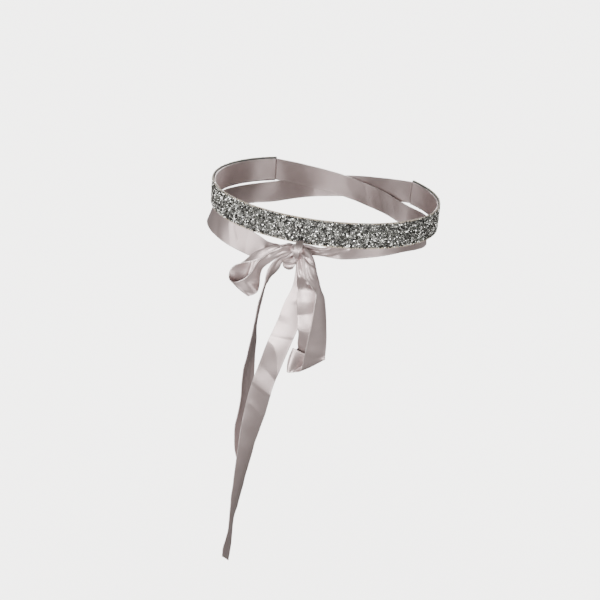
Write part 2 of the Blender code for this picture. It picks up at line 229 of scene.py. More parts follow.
TAIL_BACK = (
    (-3, 104, 21, 0, 102, 28, 0, 0),
    (-15, 107, 29.5, -10.5, 101, 34, 0, 0.2),
    (-24.5, 112, 43.5, -16.5, 99.5, 45.5, 0.5, 0.3),
    (-26, 114.5, 58.5, -24.5, 94.5, 55, 0.5, 0.2),
    (-29.5, 116.5, 78.5, -31, 93, 72, 0, 0),
    (-31.5, 117.5, 96, -33.5, 94, 87.5, 0, 0),
    (-34.5, 118, 119.5, -37, 93.5, 114.5, 0, 0),
    (-38, 117, 141.5, -36.5, 92.5, 137, 0, 0),
    (-41, 115.5, 156.5, -37, 91, 158, 0, 0),
    (-42.5, 114.5, 174.5, -37, 91, 180.5, 0, 0),
    (-43.5, 115, 203.5, -36.5, 91.5, 208, 0, 0),
    (-46.5, 116.5, 236, -36.5, 93.5, 235.5, 0.5, 0),
    (-45, 117, 255.5, -33, 95.5, 250, 0.5, 0),
    (-40.5, 117.5, 269, -32, 95, 262, 0.5, 0),
)

# rows, steps, phase
BOW = {
    "loop_right": (LOOP_RIGHT, LOOP_STEPS, 3.1),
    "loop_left": (LOOP_LEFT, LOOP_STEPS, 4.4),
    "tail_front": (TAIL_FRONT, TAIL_STEPS, 5.2),
    "tail_back": (TAIL_BACK, TAIL_STEPS, 6.3),
}

# Storage folds: lines right across a ribbon, as a height at each. near_at and far_at: how far along the
# ribbon the line is at its two edges, and bow_at how far its middle lies past the straight line.
# near_height and far_height: how far the cloth stands out there.
FOLD_COLUMNS = ("near_at", "far_at", "bow_at", "near_height", "far_height")

FOLDS = {
    "tail_front": (
        (0, 0, 0, 0, 0),
        (44, 42, 0, -0.4, -0.3),
        (70, 70, 0, 0.6, 0.2),
        (77, 79, 0, 0.5, 0.1),
        (90, 92, 0, 1.2, 0.3),
        (94.5, 94.5, 0, 1.1, 0.15),
        (98, 140, -10, 1.8, 2.9),
        (126, 144, 0, -0.5, 2.4),
        (150, 161.5, 0, -2.1, 5.2),
        (153.5, 165.5, 0, -2.6, 4.4),
        (176, 188, 0, -2.8, 2.6),
        (204, 232, 0, -2.3, -0.8),
        (222, 250, 0, -0.6, 0.1),
        (250, 272, 0, -0.6, -0.5),
        (276, 290, 0, 0.3, 0.3),
        (304, 316, 0, -0.4, -0.4),
        (330, 342, 0, 0.3, 0.2),
        (352, 360, 0, -0.2, -0.1),
        (381, 381, 0, 0, 0),
    ),
    "tail_back": (
        (0, 0, 0, 0, 0),
        (20, 14, 0, -0.6, -0.5),
        (32, 38, 0, 0.8, 0.8),
        (48, 52, 0, -0.1, -0.1),
        (75, 92, 0, 0, 0.1),
        (112, 118, 0, 0.2, 0.1),
        (146, 138, 0, -0.3, -0.3),
        (180, 186, 0, 0.6, 0.5),
        (214, 205, 0, -0.4, -0.4),
        (236, 241, 0, 0.3, 0.3),
        (252, 252, 0, 0, 0),
    ),
    "loop_left": (
        (0, 0, 0, 0, 0),
        (64, 72, 0, 0, 0),
        (92, 84, 0, 0.5, 0.4),
        (118, 124, 0, -0.3, -0.3),
        (129, 131, 0, 0.2, 0.2),
        (139, 140, 0, -0.5, -0.4),
        (151, 150, 0, 0.2, 1),
        (163, 158, 0, -0.5, 1),
        (169, 165, 0, 0.4, 1),
        (182, 172, 0, -1.2, -0.6),
        (190, 182, 0, 2.1, 2.7),
        (209, 202, 0, 0.5, 0.8),
        (228, 222, 0, -2.1, -2.3),
        (240, 238, 0, -1.9, -2.05),
        (244, 244, 0, -2, -2.1),
        (250, 250.5, 0, -2.5, -2.4),
        (257, 258, 0, -1.9, -2.2),
        (272, 272, 0, -0.5, -0.5),
        (287, 287, 0, 0.9, 0.9),
        (291, 291, 0, 0.8, 0.8),
    ),
    "loop_right": (
        (0, 0, 0, 0, 0),
        (14, 14, 0, 1.3, -0.2),
        (30, 34, 0, 0.2, 0.1),
        (46, 50, 0, -1.3, -0.4),
        (62, 68, 0, 0.4, 0.4),
        (78, 82, 0, 0.8, 0.7),
        (90, 93, 0, 0.8, 0.7),
        (104, 110, 0, 0.2, 0.2),
        (124, 120, 0, -0.3, -0.3),
        (134, 134, 0, 0.5, 0.5),
        (146, 148, 0, -0.4, -0.4),
        (163, 163, 0, 0, 0),
    ),
    "tie_right": (
        (0, 0, 0, 0, 0),
        (90, 100, 0, 0.2, 0),
        (128, 118, 0, 1, 0.9),
        (150, 146, 0, -0.3, -0.4),
        (176, 190, 0, 0.4, 0.4),
        (206, 202, 0, -0.5, -0.4),
        (236, 222, 0, 0.9, 0.9),
        (262, 268, 0, -0.2, -0.2),
        (300, 296, 0, 0, 0),
        (312, 322, 0, -0.5, -0.8),
        (338, 350, 0, 0.5, 1.2),
        (370, 372, 0, -1.2, 0.9),
        (398, 392, 0, 0.8, 2.5),
        (412, 406, 0, 0.4, 0.9),
        (429, 429, 0, 0, 0),
    ),
    "tie_left": (
        (0, 0, 0, 0, 0),
        (84, 74, 0, 0, 0.2),
        (104, 110, 0, -0.4, -0.3),
        (120, 132, 0, 0.9, 1),
        (142, 148, 0, -0.3, -0.2),
        (170, 160, 0, 0.5, 0.4),
        (200, 206, 0, -0.5, -0.5),
        (224, 236, 0, 0.8, 0.9),
        (258, 250, 0, 0.3, 0.3),
        (288, 282, 0, -0.5, -0.5),
        (312, 318, 0, -0.2, -0.1),
        (344, 350, 0, 0.1, 0),
        (368, 364, 0, -0.2, -0.4),
        (406, 406, 0, 0, 0),
    ),
}

# Short creases and puckers: each runs between two places on the ribbon, sharp along its own line and
# fading over its reach. along is in millimetres from the ribbon's first row, share is 0 to 1 across it.
CREASE_COLUMNS = ("from_along", "from_share", "to_along", "to_share", "reach", "height")

CREASES = {
    "knot_wrap": (
        (0, 0.26, 30, 0.32, 4, -0.5),
        (0, 0.52, 24, 0.46, 3.5, -0.45),
        (4, 0.76, 30, 0.66, 4, -0.45),
        (0, 0, 36, 0, 5, -0.8),
        (0, 1, 36, 1, 5, -0.8),
    ),
    "knot_under": (
        (2, 0.30, 30, 0.38, 4, -0.45),
        (6, 0.70, 26, 0.60, 4, 0.4),
        (0, 0, 36, 0, 4, -0.7),
        (0, 1, 36, 1, 4, -0.7),
    ),
    "tail_front": (
        (20, 0.25, 50, 0.42, 6, 0.4),
        (34, 0.65, 66, 1.05, 5, -0.5),
        (176, 0.20, 190, 0.85, 7, 0.35),
        (262, 0.30, 282, 0.70, 8, -0.4),
    ),
    "tail_back": (
        (6, 0.35, 46, 0.55, 5, 0.9),
        (14, 0.75, 40, 0.80, 4, -0.6),
        (150, 0.50, 236, 0.46, 7, 0.5),
    ),
    "loop_left": (
        (2, 0.45, 12, 0.45, 6, 0.5),
        (2, 0.66, 16, 0.78, 5, -0.7),
        (8, 0.02, 15, 0.40, 3.5, -1),
        (15, 0.40, 26, 0.90, 3.5, -1.1),
        (22, 0.28, 36, 0.26, 3, -0.5),
        (40, 0.15, 50, 0.30, 6, 0.4),
        (258, 0.34, 257, 0.30, 4.5, 1.6),
        (267, 0.34, 289, 0.34, 5, -1.1),
        (271, 0.76, 289, 0.72, 5, -1.3),
        (185, 0.42, 176, 0.85, 3, 0.6),
    ),
    "loop_right": (
        (2, 0.22, 26, 0.24, 7, -1.2),
        (6, 0.86, 26, 0.80, 4, -0.9),
        (26, 0.24, 46, 0.32, 7, -1),
        (94, 0.76, 108, 0.70, 2.4, 1.2),
        (99, 0.88, 111, 0.80, 2.4, -1),
        (132, 0.30, 160, 0.36, 4, -0.6),
        (128, 0.74, 158, 0.70, 4, -0.7),
    ),
    "tie_right": (
        (396, 0.42, 384, 1, 4, 0.6),
        (350, 0.15, 358, 0.55, 4, -0.4),
        (400, 0.55, 424, 0.42, 4, 0.5),
        (402, 0.80, 426, 0.66, 4, -0.4),
    ),
    "tie_left": (
        (357, 0.51, 375, 0.75, 4, -1.2),
        (375, 0.75, 390, 0.96, 4, -0.8),
        (362, 0.42, 386, 0.50, 5, 0.9),
        (378, 0.20, 400, 0.40, 4, 0.5),
        (376, 0.92, 384, 0.80, 3, 0.5),
    ),
}

# Knot. Rows as for the bow: short folds of the same ribbon that go round the knot's middle.
KNOT_FOLDS = {
    "knot_wrap": (
        (1.5, 98.5, 11, 8.5, 98, 10, 0.5, 0),
        (2, 104.5, 9.5, 9.5, 104, 9, 0.8, 0),
        (2.5, 109.5, 11, 10.2, 109.5, 11.5, 1, 0),
        (2.4, 111.6, 14.5, 9.6, 112, 15.5, 1, 0),
        (1.6, 112, 19, 8, 112.4, 20, 1, 0),
        (2.5, 110.8, 23.5, 7, 111.5, 24, 0.8, 0),
        (3, 107.5, 26.8, 6.5, 108, 27.2, 0.5, 0),
        (3, 102.5, 28, 6.5, 102.5, 28.5, 0.3, 0),
    ),
    "knot_under": (
        (-8.5, 99, 36.5, -8.8, 99, 32.5, 0.3, 0),
        (-10, 104.5, 34.8, -9.6, 105.5, 30.2, 0.8, 0),
        (-7.8, 108, 33.6, -7.4, 109, 28.8, 1.2, 0),
        (-3, 109.5, 32.6, -3, 110.5, 27.2, 1.4, 0),
        (2, 109.8, 30.8, 1.6, 110.6, 25.6, 1.3, 0),
        (5.6, 109, 28.4, 5.4, 109.8, 24.4, 1, 0),
        (8, 106, 27, 7.6, 106.5, 24, 0.6, 0),
        (8.6, 101, 27, 8.2, 101, 24, 0.3, 0),
    ),
    "knot_slant": (
        (-9.5, 102, 33.5, -10.5, 102, 31.5, 0.2, 0),
        (-8.2, 107, 31.8, -9.2, 107.5, 29.8, 0.4, 0),
        (-4.5, 109.3, 27.6, -5.6, 109.8, 25.8, 0.5, 0),
        (-0.8, 110.3, 23.6, -1.8, 110.8, 21.8, 0.5, 0),
        (2.5, 109.5, 20.5, 1.5, 109.8, 18.6, 0.3, 0),
    ),
    "knot_curl": (
        (-9.5, 105, 32, 4.5, 105, 30, 0.5, 0),
        (-9.8, 107.1, 34.4, 4.2, 107.1, 32.6, 1, 0),
        (-8.8, 107.9, 37, 2.8, 107.9, 35.6, 1.3, 0),
        (-7.2, 107.6, 38.9, 1.4, 107.6, 38, 1, 0),
        (-5.8, 105.2, 39.8, 0, 105.2, 39.4, 0.7, 0),
        (-5.6, 101, 39, -0.2, 101, 38.6, 0.3, 0),
    ),
}
KNOT_FOLD_STEPS = 60
KNOT_FOLD_PHASE = 2.3
KNOT_FOLD_HALF_WALL = 0.3

# Middle of the knot, under those folds.
KNOT_CENTRE = (3.5, 103.5, 19.5)
KNOT_HALF_SIZES = (8.0, 6.4, 7.4)
KNOT_TILT = 20.0
KNOT_RINGS = 36
KNOT_SEGMENTS = 72

# Gathers over the middle: depth against its size, number round it, slant and wander from pole to pole.
KNOT_GATHERS = (
    (0.045, 7, 0, 1.3),
    (0.03, 12, 2.1, 0),
    (0.02, 3, 5, 0),
)


# ---------------------------------------- forms

def smooth_rows(rows, places, count):
    """A smooth curve through the table's rows, read at count even steps of places."""
    rows = np.asarray(rows, dtype=float)
    places = np.asarray(places, dtype=float)
    slopes = np.gradient(rows, places, axis=0)
    wanted = np.linspace(places[0], places[-1], count)
    left = np.clip(np.searchsorted(places, wanted, side="right") - 1, 0, len(places) - 2)
    span = (places[left + 1] - places[left])[:, None]
    part = (wanted - places[left])[:, None] / span
    start = 2 * part**3 - 3 * part**2 + 1
    leave = part**3 - 2 * part**2 + part
    end = 3 * part**2 - 2 * part**3
    arrive = part**3 - part**2
    return (start * rows[left] + leave * span * slopes[left]
            + end * rows[left + 1] + arrive * span * slopes[left + 1])


def world(across, out, drop):
    """Points on the scene's axes, still in millimetres."""
    return np.stack([across, -np.asarray(out), -np.asarray(drop)], axis=-1)


def round_waist(angle, gap, drop):
    """Points round the waist's ellipse, out from it by gap."""
    turn = np.radians(angle)
    across = (WAIST_HALF_ACROSS + gap) * np.sin(turn)
    out = (WAIST_HALF_OUT + gap) * np.cos(turn)
    return world(across, out, drop)


def unit(vectors):
    return vectors / np.maximum(np.linalg.norm(vectors, axis=-1, keepdims=True), SHORTEST)


def lengths_along(line):
    """How far each point of the line is from its first."""
    return np.concatenate([[0.0], np.cumsum(np.linalg.norm(np.diff(line, axis=0), axis=1))])


def pleat_depth(straight, pleat_slopes):
    """Depth of the pleats that fit the ribbon's whole width into each straight distance."""
    shallow = np.zeros(len(straight))
    deep = np.full(len(straight), RIBBON_WIDTH)
    for _ in range(PLEAT_HALVINGS):
        depth = (shallow + deep) / 2
        run = np.hypot(straight[:, None], depth[:, None] * pleat_slopes).mean(axis=1)
        shallow = np.where(run < RIBBON_WIDTH, depth, shallow)
        deep = np.where(run < RIBBON_WIDTH, deep, depth)
    return (shallow + deep) / 2


def blur_rows(values, radius):
    """Each column smoothed along the rows by a bell of the given radius in rows."""
    reach = int(math.ceil(BELL_REACH * radius))
    bell = np.exp(-0.5 * (np.arange(-reach, reach + 1) / radius) ** 2)
    bell /= bell.sum()
    padded = np.pad(values, ((reach, reach), (0, 0)), mode="edge")
    return np.stack([np.convolve(column, bell, mode="valid") for column in padded.T], axis=1)


def fold_heights(rows, along, share, soft_rows):
    """Height of the storage folds at each place."""
    heights = np.zeros((len(along), len(share)))
    if not rows:
        return heights
    table = dict(zip(FOLD_COLUMNS, np.asarray(rows, dtype=float).T))
    for column, part in enumerate(share):
        at = table["near_at"] * (1 - part) + table["far_at"] * part + table["bow_at"] * 4 * part * (1 - part)
        height = table["near_height"] * (1 - part) + table["far_height"] * part
        heights[:, column] = np.interp(along, at, height)
    return blur_rows(heights, soft_rows)


def crease_heights(rows, along, share):
    """Height of the short creases at each place."""
    heights = np.zeros((len(along), len(share)))
    spot = np.stack(np.broadcast_arrays(along[:, None], share[None, :] * RIBBON_WIDTH), axis=-1)
    for values in rows:
        row = dict(zip(CREASE_COLUMNS, values))
        start = np.array([row["from_along"], row["from_share"] * RIBBON_WIDTH])
        step = np.array([row["to_along"], row["to_share"] * RIBBON_WIDTH]) - start
        part = np.clip(((spot - start) @ step) / (step @ step), 0, 1)
        away = np.linalg.norm(spot - start - part[..., None] * step, axis=-1)
        rounded = np.sqrt(away**2 + CREASE_ROUNDING**2)
        heights += row["height"] * np.clip(1 - rounded / row["reach"], 0, None) ** CREASE_FALL
    return heights


def slow_waves(along, share, phase):
    """Faint slow waves of the cloth, different on each ribbon."""
    u = along[:, None] + WAVE_SHIFT * phase
    v = share[None, :] * RIBBON_WIDTH
    return sum(height * np.sin(u / length + v / width + turn * phase)
               for height, length, width, turn in WAVES)


def ribbon_sheet(name, first, second, arch, pleats, phase, side=1):
    """The ribbon's middle surface: rows of points from its first edge to its second."""
    share = np.linspace(0, 1, ACROSS_STEPS + 1)
    bend = math.pi * PLEAT_HALF_WAVES
    chord = second - first
    straight = np.linalg.norm(chord, axis=1)
    slopes = bend * np.cos(bend * np.linspace(0, 1, PLEAT_SAMPLES))[None, :]
    depth = pleats * pleat_depth(straight, slopes)
    middle = (first + second) / 2
    along = lengths_along(middle)
    normal = unit(np.cross(np.gradient(middle, axis=0), chord))
    pitch = along[-1] / (len(along) - 1)
    height = arch[:, None] * np.sin(math.pi * share) + depth[:, None] * np.sin(bend * share)
    height = height + side * fold_heights(FOLDS.get(name, ()), along, share, FOLD_SOFTNESS / pitch)
    height = height + side * crease_heights(CREASES.get(name, ()), along, share)
    height = height + slow_waves(along, share, phase)
    points = (first[:, None] + chord[:, None] * share[None, :, None]
              + normal[:, None] * height[:, :, None])
    return points, along, share


def tie_sheet(name, rows, side, phase):
    angles = [-row[0] for row in rows]
    table = dict(zip(TIE_COLUMNS, smooth_rows(rows, angles, TIE_STEPS).T))
    angle = side * table["angle"]
    upper = round_waist(angle, table["upper_gap"], table["upper_drop"])
    lower = round_waist(angle, table["lower_gap"], table["lower_drop"])
    return ribbon_sheet(name, upper, lower, side * table["arch"], table["pleats"], phase, side)


def bow_sheet(name, rows, steps, phase):
    rows = np.asarray(rows, dtype=float)
    places = lengths_along((rows[:, 0:3] + rows[:, 3:6]) / 2)
    table = dict(zip(BOW_COLUMNS, smooth_rows(rows, places, steps).T))
    near = world(table["near_across"], table["near_out"], table["near_drop"])
    far = world(table["far_across"], table["far_out"], table["far_drop"])
    return ribbon_sheet(name, near, far, table["arch"], table["pleats"], phase)


def backing_sheet():
    """The ribbon's stretch behind the band, plain and flat against it."""
    angle = np.linspace(-BAND_END_ANGLE, BAND_END_ANGLE, BACKING_STEPS)
    flat = np.zeros(len(angle))
    upper = round_waist(angle, BACKING_GAP, flat - RIBBON_WIDTH / 2)
    lower = round_waist(angle, BACKING_GAP, flat + RIBBON_WIDTH / 2)
    return ribbon_sheet("ribbon_backing", upper, lower, flat, flat, 0.0)


def cloth_part(points, along, share, half_wall=SATIN_HALF_WALL, edge_half_wall=SELVEDGE_HALF_WALL,
               width=RIBBON_WIDTH):
    """A closed thin cloth round a sheet of points, with a thicker woven edge on both sides.

    Gives its corners, faces, each corner's place on the flat cloth, and how far it is part of that edge.
    """
    rows, columns = points.shape[:2]
    tangent = np.gradient(points, axis=0)
    cross = np.gradient(points, axis=1)
    normal = unit(np.cross(tangent, cross))
    from_edge = np.minimum(share, 1 - share) * width
    swell = np.exp(-(from_edge / SELVEDGE_WIDTH) ** 2)
    wall = half_wall + (edge_half_wall - half_wall) * swell
    front = points + normal * wall[None, :, None]
    back = points - normal * wall[None, :, None]
    verts = np.concatenate([front.reshape(-1, 3), back.reshape(-1, 3)]) * MM
    index = np.arange(rows * columns).reshape(rows, columns)
    low = index + rows * columns

    def quads(*corners):
        return np.stack(corners, axis=-1).reshape(-1, 4)

    faces = np.concatenate([
        quads(index[:-1, :-1], index[1:, :-1], index[1:, 1:], index[:-1, 1:]),
        quads(low[:-1, :-1], low[:-1, 1:], low[1:, 1:], low[1:, :-1]),
        quads(index[:-1, 0], low[:-1, 0], low[1:, 0], index[1:, 0]),
        quads(index[:-1, -1], index[1:, -1], low[1:, -1], low[:-1, -1]),
        quads(index[0, :-1], index[0, 1:], low[0, 1:], low[0, :-1]),
        quads(index[-1, :-1], low[-1, :-1], low[-1, 1:], index[-1, 1:]),
    ])
    flat = np.stack(np.broadcast_arrays(along[:, None], share * width), axis=-1).reshape(-1, 2)
    return verts, faces, np.tile(flat * MM, (2, 1)), np.tile(swell, 2 * rows)


def add_mesh(name, verts, faces, material, smooth=True):
    mesh = bpy.data.meshes.new(name)
    mesh.from_pydata(verts.tolist(), [], faces)
    mesh.materials.append(material)
    if smooth:
        mesh.shade_smooth()
    return add_object(name, mesh)


def add_object(name, data):
    thing = bpy.data.objects.new(name, data)
    bpy.context.scene.collection.objects.link(thing)
    return thing


def set_cloth_values(mesh, uv, edge):
    """The place on the cloth of each face corner, and how far each vertex is part of its woven edge."""
    layer = mesh.uv_layers.new(name="UVMap")
    layer.data.foreach_set("uv", uv.astype(np.float32).ravel())
    layer = mesh.attributes.new("selvedge", "FLOAT", "POINT")
    layer.data.foreach_set("value", edge.astype(np.float32))


def cloth_object(name, material, parts):
    """One piece from one or more cloth parts."""
    verts, faces, place, edge = zip(*parts)
    starts = np.cumsum([0] + [len(part) for part in verts])
    faces = np.concatenate([part + start for part, start in zip(faces, starts)])
    piece = add_mesh(name, np.concatenate(verts), faces.tolist(), material)
    set_cloth_values(piece.data, np.concatenate(place)[faces.ravel()], np.concatenate(edge))
    return piece


def sheet_area(points):
    """Area of a sheet of points, in square millimetres."""
    one = np.cross(points[1:, :-1] - points[:-1, :-1], points[:-1, 1:] - points[:-1, :-1])
    two = np.cross(points[1:, :-1] - points[1:, 1:], points[:-1, 1:] - points[1:, 1:])
    return (np.linalg.norm(one, axis=2).sum() + np.linalg.norm(two, axis=2).sum()) / 2


def knot_middle(name, material):
    """The knot's middle: a rounded form with the ribbon's gathers running over it."""
    polar = np.linspace(0, math.pi, KNOT_RINGS + 1)[:, None]
    turn = np.linspace(0, 2 * math.pi, KNOT_SEGMENTS, endpoint=False)[None, :]
    gathers = sum(depth * np.sin(count * turn + slant * polar + wander * np.cos(2 * polar))
                  for depth, count, slant, wander in KNOT_GATHERS)
    size = 1 + gathers * np.sin(polar)
    across = KNOT_HALF_SIZES[0] * size * np.sin(polar) * np.cos(turn)
    out = KNOT_HALF_SIZES[1] * size * np.sin(polar) * np.sin(turn)
    drop = KNOT_HALF_SIZES[2] * size * np.cos(polar) * np.ones_like(turn)
    tilt = math.radians(KNOT_TILT)
    tilted_across = across * math.cos(tilt) - drop * math.sin(tilt)
    tilted_drop = across * math.sin(tilt) + drop * math.cos(tilt)
    points = world(tilted_across + KNOT_CENTRE[0], out + KNOT_CENTRE[1], tilted_drop + KNOT_CENTRE[2])
    verts = np.concatenate([points[1:-1].reshape(-1, 3), points[:1, 0], points[-1:, 0]]) * MM
    ring = np.arange((KNOT_RINGS - 1) * KNOT_SEGMENTS).reshape(KNOT_RINGS - 1, KNOT_SEGMENTS)
    after = np.roll(ring, -1, axis=1)
    faces = np.stack([ring[:-1], after[:-1], after[1:], ring[1:]], axis=-1).reshape(-1, 4).tolist()
    top, bottom = ring.size, ring.size + 1
    faces += [(top, k, j) for j, k in zip(ring[0].tolist(), after[0].tolist())]
    faces += [(bottom, j, k) for j, k in zip(ring[-1].tolist(), after[-1].tolist())]
    piece = add_mesh(name, verts, faces, material)
    corners = np.empty(len(piece.data.loops), dtype=np.int32)
    piece.data.loops.foreach_get("vertex_index", corners)
    set_cloth_values(piece.data, verts[corners][:, [2, 0]], np.zeros(len(verts)))
    return piece


# ---------------------------------------- materials

# The satin's two slow tones, the lighter tone of a painted highlight along its woven edge, and the share of
# that painted highlight that shows there.
SATIN_DARK = (0.600, 0.498, 0.493, 1.0)
SATIN_LIGHT = (0.660, 0.552, 0.545, 1.0)
SATIN_EDGE_HIGHLIGHT = (0.86, 0.78, 0.76, 1.0)
SATIN_EDGE_HIGHLIGHT_SHARE = 0.45
# Threads that lie on top of the weave, per metre along the ribbon and across it.
FLOATS_PER_METRE = (260.0, 3600.0, 1.0)

# Plain cloths. dark and light: their two tones. thread: its width in millimetres.
# name: dark, light, roughness, thread
PLAIN_CLOTHS = {
    "band_cloth_look": ((0.10, 0.10, 0.10, 1.0), (0.20, 0.20, 0.20, 1.0), 0.8, 0.5),
    "band_edge_look": ((0.33, 0.27, 0.20, 1.0), (0.55, 0.48, 0.38, 1.0), 0.7, 0.6),
    "thread_look": ((0.40, 0.38, 0.38, 1.0), (0.62, 0.60, 0.60, 1.0), 0.6, 0.2),
}


def set_inputs(node, values):
    for name, value in values.items():
        node.inputs[name].default_value = value


def new_material(name, values):
    """A material, its node tree and its shader, with the shader's sockets set."""
    material = bpy.data.materials.new(name)
    material.use_nodes = True
    tree = material.node_tree
    shader = tree.nodes["Principled BSDF"]
    set_inputs(shader, values)
    return material, tree, shader


def add_node(tree, kind, values=None, **settings):
    """A shader node with its settings and sockets set."""
    node = tree.nodes.new("ShaderNode" + kind)
    for name, value in settings.items():
        setattr(node, name, value)
    set_inputs(node, values or {})
    return node


def link(tree, source, output, target, socket):
    tree.links.new(source.outputs[output], target.inputs[socket])


def add_tones(tree, source, output, dark, light, start=0.0, end=1.0):
    """A ramp from dark to light, between the start and end of what comes in."""
    tone = add_node(tree, "ValToRGB")
    for element, position, colour in zip(tone.color_ramp.elements, (start, end), (dark, light)):
        element.position = position
        element.color = colour
    link(tree, source, output, tone, "Fac")
    return tone


def add_bump(tree, shader, source, strength, distance):
    bump = add_node(tree, "Bump", {"Strength": strength, "Distance": distance})
    link(tree, source, "Fac", bump, "Height")
    link(tree, bump, "Normal", shader, "Normal")


def satin_material():
    material, tree, shader = new_material("satin_look", {
        "Roughness": 0.42, "Metallic": 0.75, "Specular IOR Level": 0.5, "Sheen Weight": 0.12,
        "Sheen Roughness": 0.35, "Anisotropic": 0.7, "Anisotropic Rotation": 0.25})
    tangent = add_node(tree, "Tangent", direction_type="UV_MAP", uv_map="UVMap")
    link(tree, tangent, "Tangent", shader, "Tangent")
    place = add_node(tree, "UVMap", uv_map="UVMap")
    floats_place = add_node(tree, "Mapping", {"Scale": FLOATS_PER_METRE})
    link(tree, place, "UV", floats_place, "Vector")
    floats = add_node(tree, "TexNoise", {"Scale": 1.0, "Detail": 3.0})
    link(tree, floats_place, "Vector", floats, "Vector")
    cloud = add_node(tree, "TexNoise", {"Scale": 55.0, "Detail": 4.0})
    link(tree, place, "UV", cloud, "Vector")
    tone = add_tones(tree, cloud, "Fac", SATIN_DARK, SATIN_LIGHT, start=0.3, end=0.7)
    weave = add_node(tree, "Mix", {"Factor": 0.10}, data_type="RGBA", blend_type="MULTIPLY")
    link(tree, tone, "Color", weave, "A")
    link(tree, floats, "Color", weave, "B")
    # Towards the woven edge the colour is mixed with a lighter tone: a painted highlight along both edges of
    # the ribbon.
    selvedge = add_node(tree, "Attribute", attribute_name="selvedge")
    share = add_node(tree, "Math", {1: SATIN_EDGE_HIGHLIGHT_SHARE}, operation="MULTIPLY")
    link(tree, selvedge, "Fac", share, 0)
    edge = add_node(tree, "Mix", {"B": SATIN_EDGE_HIGHLIGHT}, data_type="RGBA")
    link(tree, share, "Value", edge, "Factor")
    link(tree, weave, "Result", edge, "A")
    link(tree, edge, "Result", shader, "Base Color")
    add_bump(tree, shader, floats, strength=0.12, distance=0.00015)
    return material


def crystal_material():
    material, tree, shader = new_material("crystal_look", {
        "Roughness": 0.13, "Metallic": 0.80, "Coat Weight": 0.5, "Coat Roughness": 0.05})
    colour = add_node(tree, "Attribute", attribute_name="stone_colour")
    cloud = add_node(tree, "TexNoise", {"Scale": 900.0})
    mixed = add_node(tree, "Mix", {"Factor": 0.35}, data_type="RGBA", blend_type="MULTIPLY")
    link(tree, colour, "Color", mixed, "A")
    link(tree, cloud, "Fac", mixed, "B")
    link(tree, mixed, "Result", shader, "Base Color")
    return material


def plain_cloth_material(name):
    """A plain woven cloth in two tones."""
    dark, light, roughness, thread = PLAIN_CLOTHS[name]
    material, tree, shader = new_material(name, {"Roughness": roughness, "Sheen Weight": 0.2})
    place = add_node(tree, "UVMap", uv_map="UVMap")
    wave = add_node(tree, "TexWave", {"Scale": 1.0 / (math.pi * thread * MM), "Distortion": 1.5})
    link(tree, place, "UV", wave, "Vector")
    tone = add_tones(tree, wave, "Fac", dark, light)
    link(tree, tone, "Color", shader, "Base Color")
    add_bump(tree, shader, wave, strength=0.4, distance=0.0002)
    return material


# ---------------------------------------- crystal band

# The band's base, the fine edges above and below it, and the bindings down its ends. gap: out from the
# waist's ellipse. short: how much lower a strip is than the room for it.
BAND_SAMPLES = 2001
BAND_COLUMNS = 7
BASE_GAP = 4.3
BASE_HALF_WALL = 0.35
BASE_SHORT = 0.6
EDGE_HEIGHT = 1.3
EDGE_GAP = 5.0
EDGE_HALF_WALL = 0.6
BINDING_ANGLE = 0.8
BINDING_STEPS = 5
BINDING_SHORT = 0.1

# Running stitches that hold the band on the ribbon, along both edges and down both ends. stray and slant:
# how far they are off their line. lie and dive: how deep their middle lies in the cloth and how far their
# ends go in, against the thread's radius. taper: how much thinner the ends are.
STITCH_LENGTH = 2.2
STITCH_PITCH = 3.4
STITCH_RADIUS = 0.17
STITCH_FROM_EDGE = 1.8
STITCH_STRAY = (0.25, 0.12)
STITCH_SLANT = 4.0
STITCH_LIE = 0.6
STITCH_DIVE = 2.2
STITCH_TAPER = 0.35
STITCH_RINGS = 5
STITCH_SIDES = 6

# Stones lie in rows, each row half a pitch on from the last. room: left free at the ends. from_edge: of the
# outermost rows. squeeze: how much closer the rows are than the stones in a row. stray: off their place.
STONE_GAP = 4.65
STONE_PITCH = 2.05
STONE_ROOM = 1.2
STONE_FROM_EDGE = 1.3
STONE_SQUEEZE = 0.87
STONE_STRAY = (0.55, 0.5)
STONE_SIZES = (0.85, 1.35)
STONE_LIFTS = (-0.15, 0.25)
STONE_LEVELS = (0.75, 1.25)
STONE_TILT = 15.0
STONE_TILT_MOST = 35.0

# Smaller stones strewn on top of the rows, with sizes in millimetres.
TOP_STONES = 900
TOP_ROOM = 1.0
TOP_FROM_EDGE = 1.4
TOP_SIZES = (1.1, 1.9)
TOP_LIFTS = (0.35, 0.75)

# Heights of a stone's flat top, widest ring and foot, and the foot's breadth, against the stone's size.
STONE_TOP = 0.52
STONE_RING = 0.24
STONE_FOOT = -0.15
STONE_FOOT_SIZE = 0.8

# Stones by shape: corners round the outline, length and width against the stone's size, the flat top's
# size against the whole, and the share of all stones that have this shape.
STONES = (
    (8, 1.00, 1.00, 0.52, 0.45),
    (6, 1.25, 0.80, 0.55, 0.20),
    (4, 1.45, 0.62, 0.60, 0.20),
    (5, 1.10, 0.90, 0.45, 0.15),
)

# Tones of the foil behind the stones, dark to bright: red, green, blue, and the share of stones.
TONES = (
    (0.06, 0.06, 0.055, 0.18),
    (0.17, 0.172, 0.16, 0.22),
    (0.36, 0.367, 0.345, 0.24),
    (0.62, 0.632, 0.60, 0.20),
    (0.92, 0.93, 0.90, 0.16),
)


def band_runs():
    """Angles round the band, and the length from the front to each."""
    angles = np.linspace(-BAND_END_ANGLE, BAND_END_ANGLE, BAND_SAMPLES)
    runs = lengths_along(round_waist(angles, BASE_GAP, np.zeros(BAND_SAMPLES)))
    return angles, runs - runs[-1] / 2


def band_place(length, drop, gap):
    """Place and facing on the band, from the length round it, measured from the front."""
    angles, runs = band_runs()
    angle = np.interp(length, runs, angles)
    turn = np.radians(angle)
    facing = unit(world(np.sin(turn) / (WAIST_HALF_ACROSS + gap), np.cos(turn) / (WAIST_HALF_OUT + gap),
                        np.zeros(len(turn))))
    return round_waist(angle, gap, drop), facing


